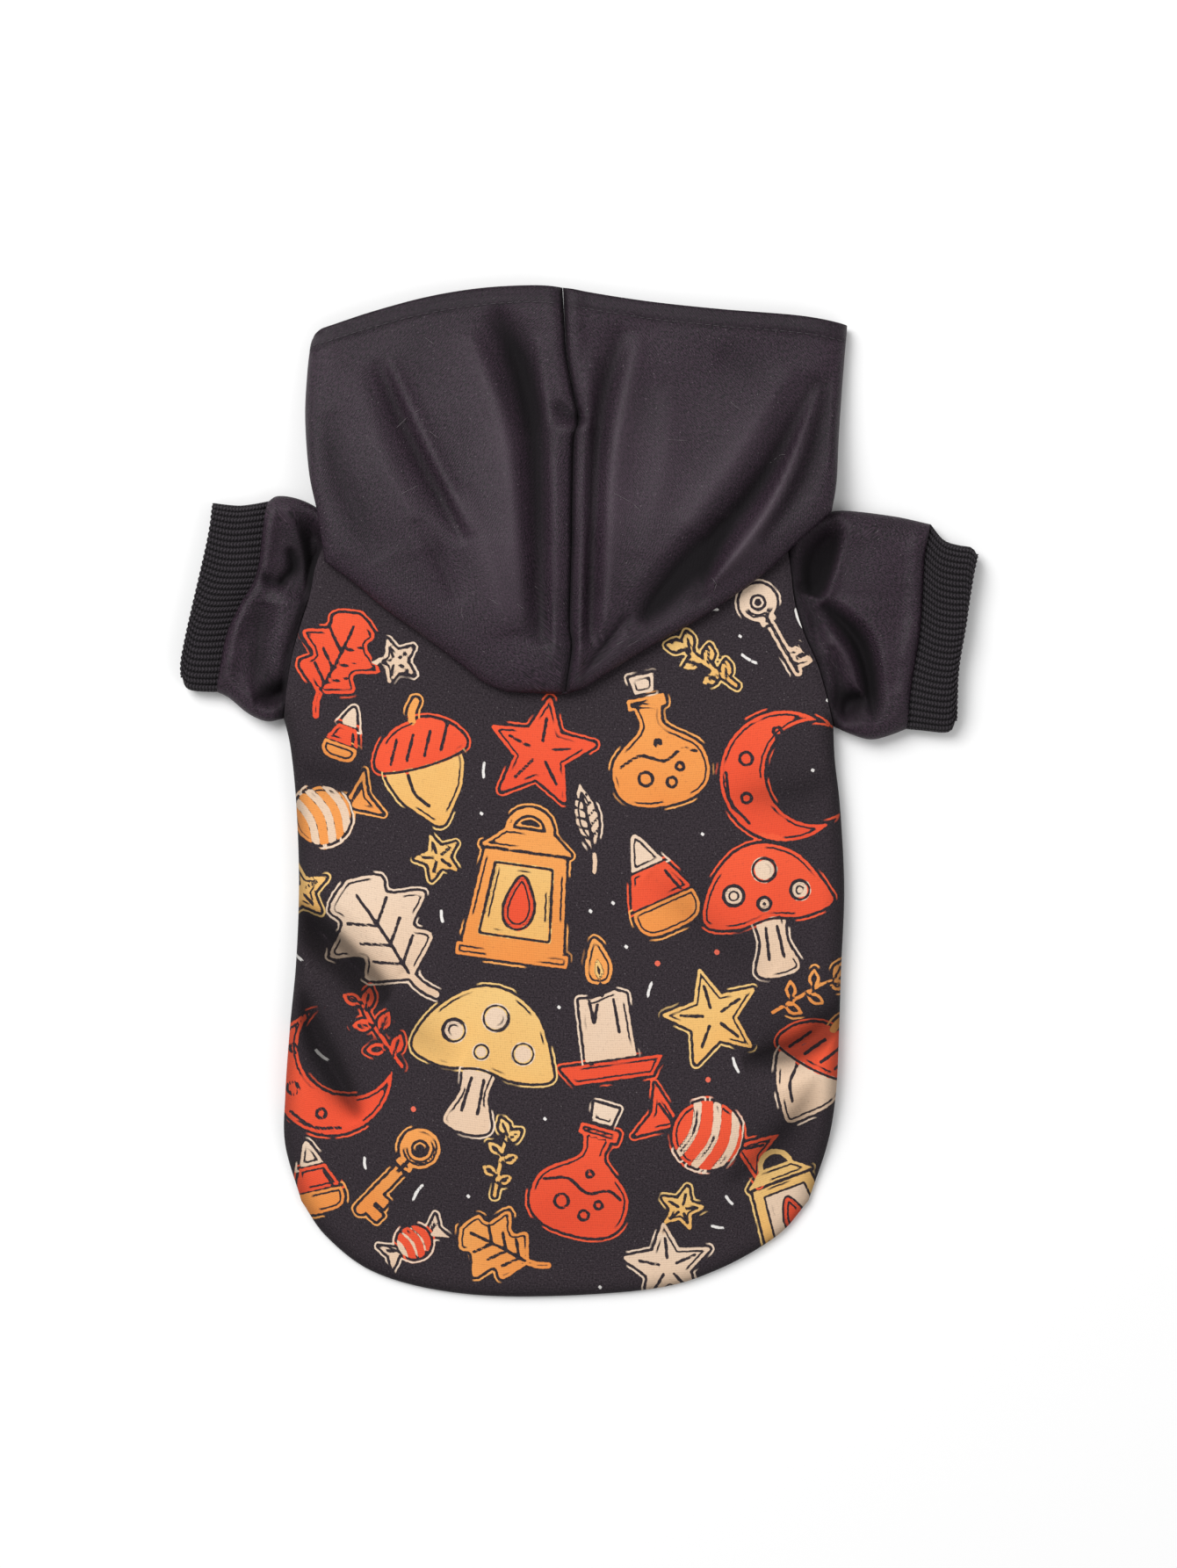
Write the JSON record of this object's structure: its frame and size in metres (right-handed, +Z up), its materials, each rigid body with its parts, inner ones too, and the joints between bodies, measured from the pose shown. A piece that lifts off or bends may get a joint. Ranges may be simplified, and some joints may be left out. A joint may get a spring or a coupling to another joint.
{
  "type": "dog hoodie",
  "caption": "Short-sleeved dog hoodie laid flat with its back up: printed back, plain hood spread over it, ribbed cuffs and a rounded tail hem.",
  "frame": {"origin": "middle of the footprint, on the surface that the garment lies on", "axes": "+Z up from the surface, +Y from the tail hem towards the hood's mouth, +X across to the sleeve on the right seen from above"},
  "size_m": [0.3172, 0.4026, 0.022],
  "materials": {
    "printed_jersey": null,
    "black_twill": "smooth black twill with a satin sheen",
    "rib_knit": "matt black rib knit"
  },
  "bodies": {
    "root": {"back_panel": "printed_jersey", "belly_panel": "black_twill", "hood_left": "black_twill", "hood_right": "black_twill", "sleeve_left": "black_twill", "sleeve_right": "black_twill", "cuff_left": "rib_knit", "cuff_right": "rib_knit"}
  },
  "joints": []
}
